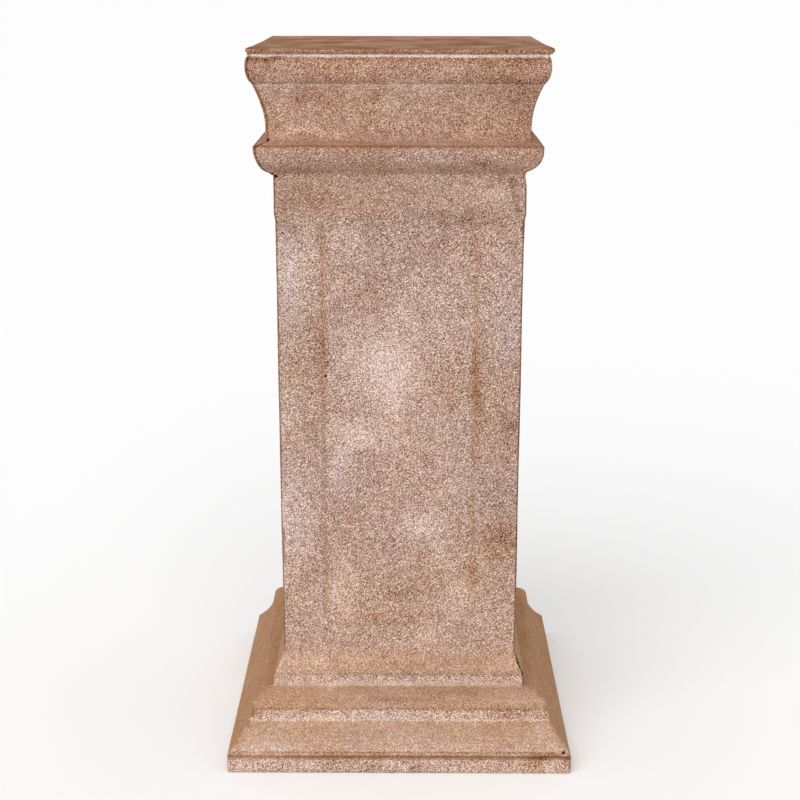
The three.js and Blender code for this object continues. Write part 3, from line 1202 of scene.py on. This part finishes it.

# %% [markdown]
# ### The top plate
# The plate is brown and smooth, and its top is darker still: partly its own brown, partly painted shade.
# Its top is level, so one height covers all of it, and wide streaks bring the wear. The lines hardly wander
# here, or the nose's colour would run over the top.

# %% The top plate's paint
PLATE_WANDER = (0.02 * MM, 0.04 * MM)
PLATE_BANDS = (
    # the reddish nose under a dark line, and the streaked brown top, darkened in part as painted shade
    (775.0, 0.36, 0.75, 0.7),
    (775.8, 0.4, 0.78, 0.85),
    (779.7, 0.44, 0.78, 0.85),
    (779.85, 0.24, 0.75, 0.4),
    (779.95, 0.32, 0.82, 0.2),
    (780.0, 0.42, 0.85, 0.3),
)
plate_paint = sponged_paint(
    "plate_sponged_paint", PLATE_BANDS, RED_BROWN, PLATE_WANDER, STREAK_ACROSS_PLATE
)
top_plate.data.materials.append(plate_paint)
print("paints:", [material.name for material in bpy.data.materials if material.users])

# %% [markdown]
# ## The floor
# A white floor that runs out of the picture gives the clean ground of a product shot. A curved paper
# sweep would do the same in a studio, but a plain sheet this large needs no curve.

# %% Floor
FLOOR_HALF = 60.0
FLOOR_WHITE = "#f7f7f7"
FLOOR_ROUGHNESS = 0.9

floor_mesh = bpy.data.meshes.new("studio_floor")
sheet = bmesh.new()
bmesh.ops.create_grid(sheet, x_segments=1, y_segments=1, size=FLOOR_HALF)
sheet.to_mesh(floor_mesh)
sheet.free()
floor = bpy.data.objects.new("studio_floor", floor_mesh)
bpy.context.scene.collection.objects.link(floor)
# matt white: it shows nothing but the soft shadow at the foot of the column
white = bpy.data.materials.new("white_studio_floor")
white.use_nodes = True
paper = white.node_tree.nodes["Principled BSDF"]
paper.inputs["Base Color"].default_value = linear(FLOOR_WHITE)
paper.inputs["Roughness"].default_value = FLOOR_ROUGHNESS
floor_mesh.materials.append(white)
print("floor, metres across:", 2 * FLOOR_HALF)

# %% [markdown]
# ## The light
# The shadows of the real picture are faint and wide, as under a large lamp in a white room. A sun with a
# wide angle from the front left is that lamp, and a white world is the room. An area lamp would need its
# distance tuned as well.

# %% Light
KEY_STRENGTH = 1.7
KEY_ANGLE = math.radians(70)
KEY_HEIGHT = math.radians(40)
KEY_TURN = math.radians(-18)
WORLD_STRENGTH = 0.72
WORLD_COLOUR = "#ffffff"

key_data = bpy.data.lights.new("soft_key", "SUN")
key_data.energy = KEY_STRENGTH
key_data.angle = KEY_ANGLE
key = bpy.data.objects.new("soft_key", key_data)
key.rotation_euler = (math.pi / 2 - KEY_HEIGHT, 0, KEY_TURN)
bpy.context.scene.collection.objects.link(key)
world = bpy.data.worlds.new("soft_studio")
world.use_nodes = True
room = world.node_tree.nodes["Background"]
room.inputs["Color"].default_value = linear(WORLD_COLOUR)
room.inputs["Strength"].default_value = WORLD_STRENGTH
bpy.context.scene.world = world
bpy.context.scene.view_settings.view_transform = "Standard"
print("key light, degrees wide:", round(math.degrees(KEY_ANGLE)))
